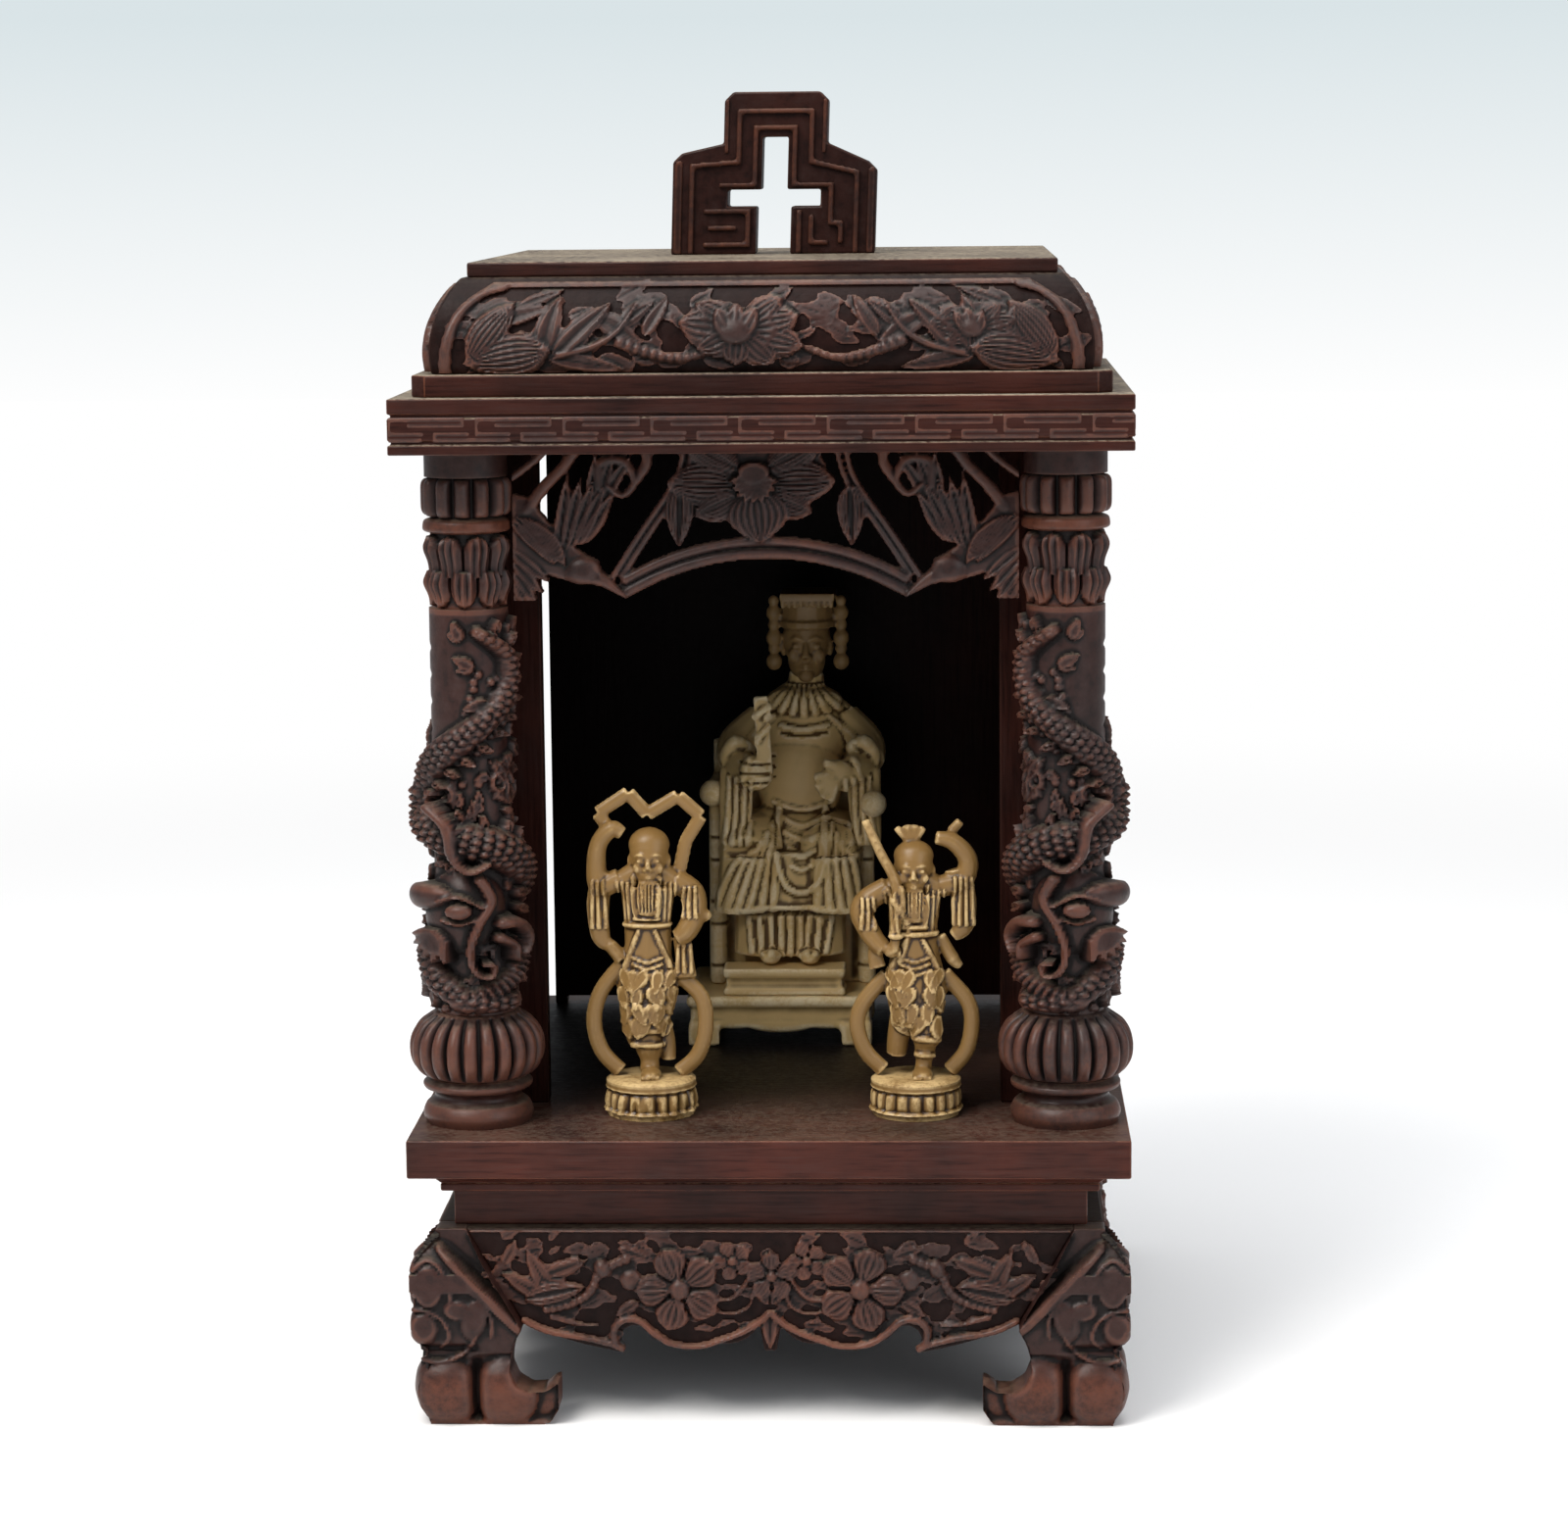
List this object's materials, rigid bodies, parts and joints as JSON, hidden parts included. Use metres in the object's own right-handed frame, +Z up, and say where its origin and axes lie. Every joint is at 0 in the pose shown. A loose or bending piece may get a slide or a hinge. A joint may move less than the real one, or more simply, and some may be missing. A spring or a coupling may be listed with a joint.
{
  "type": "miniature carved wooden table shrine",
  "caption": "Small carved wooden shrine with dragon columns, a pierced bird arch, scroll feet and a coved roof, holding a seated figure and two standing figures.",
  "frame": {"origin": "on the table, below the middle of the shrine", "axes": "+Z up, -Y the open front, +X to the right seen from the front"},
  "size_m": [0.1218, 0.1206, 0.2213],
  "materials": {
    "carved_wood": "dark polished carved hardwood with worn edges",
    "plain_wood": "reddish brown polished boards",
    "pale_figure": "pale carved figure with brown toning",
    "golden_figure": "golden toned carved figure"
  },
  "bodies": {
    "root": {"platform": "plain_wood", "waist_band": "carved_wood", "waist_fillet": "carved_wood", "waist_cove": "carved_wood", "foot_front_left": "carved_wood", "foot_front_right": "carved_wood", "foot_rear_left": "carved_wood", "foot_rear_right": "carved_wood", "apron_front": "carved_wood", "apron_rear": "carved_wood", "apron_right": "carved_wood", "apron_left": "carved_wood", "side_wall_left": "plain_wood", "side_wall_right": "plain_wood", "stile_left": "carved_wood", "stile_right": "carved_wood", "rear_post_left": "carved_wood", "rear_post_right": "carved_wood", "back_board": "plain_wood", "column_base_left": "carved_wood", "cushion_left": "carved_wood", "column_shaft_left": "carved_wood", "capital_left": "carved_wood", "column_base_right": "carved_wood", "cushion_right": "carved_wood", "column_shaft_right": "carved_wood", "capital_right": "carved_wood", "arch_frieze": "carved_wood", "cornice_ring": "carved_wood", "cornice_step": "carved_wood", "ceiling_board": "plain_wood", "roof_cove_front": "carved_wood", "roof_cove_right": "carved_wood", "roof_cove_rear": "carved_wood", "roof_cove_left": "carved_wood", "roof_plate": "carved_wood", "crest": "carved_wood", "throne_dais": "pale_figure", "footstool": "pale_figure", "throne_chair": "pale_figure", "seated_figure": "pale_figure", "seated_head": "pale_figure", "attendant_base_left": "golden_figure", "attendant_left": "golden_figure", "attendant_base_right": "golden_figure", "attendant_right": "golden_figure"}
  },
  "joints": []
}
